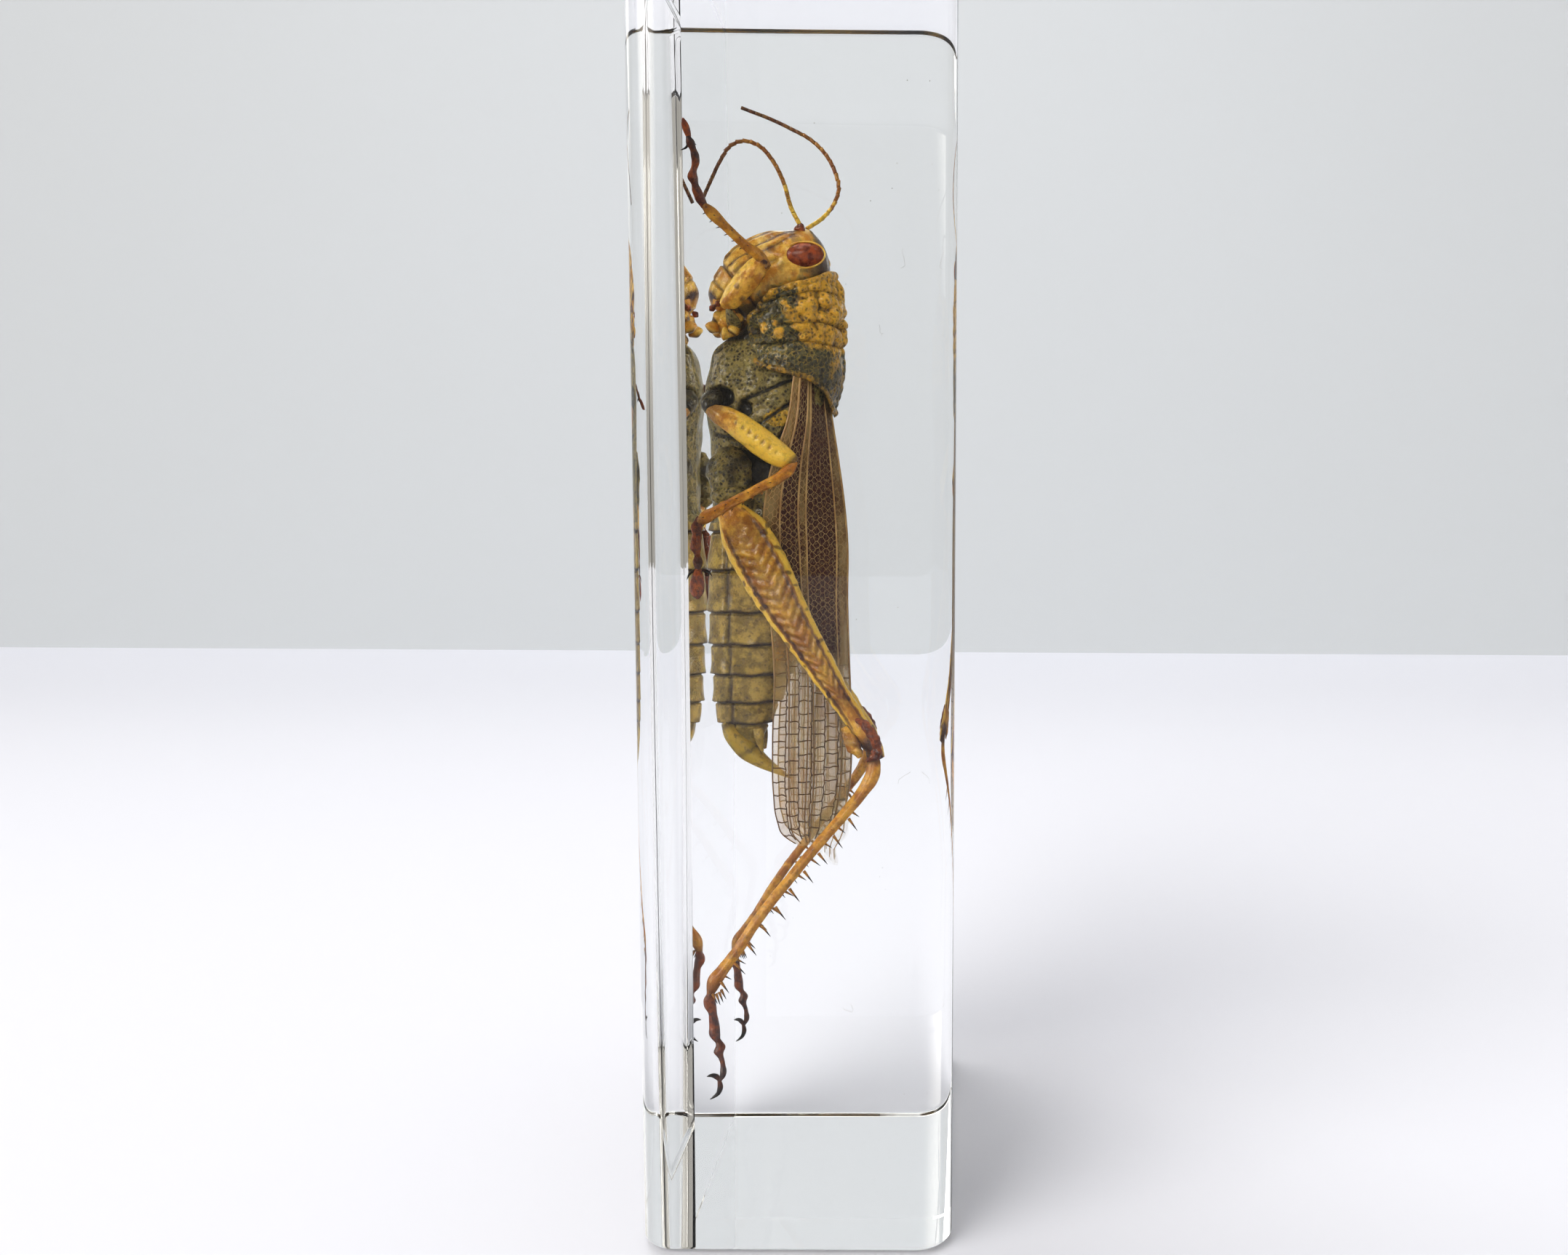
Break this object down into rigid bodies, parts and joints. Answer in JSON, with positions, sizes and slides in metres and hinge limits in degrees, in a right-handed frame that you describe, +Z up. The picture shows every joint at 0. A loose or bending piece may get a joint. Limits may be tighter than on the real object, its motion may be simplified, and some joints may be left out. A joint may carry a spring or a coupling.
{
  "type": "insect in resin block",
  "caption": "Upright clear resin block with rounded upright edges and a dried locust sealed head up inside, standing on its flat end.",
  "frame": {"origin": "centre of the block's lower end, at the middle of the face it stands on", "axes": "+Z up the block towards the insect's head, +Y from the narrow face that shows the insect's left side to the one behind it, +X from the insect's belly towards its back"},
  "size_m": [0.028, 0.04, 0.115],
  "materials": {
    "resin": "polished clear casting resin"
  },
  "bodies": {
    "root": {"resin_block": "resin"}
  },
  "joints": []
}
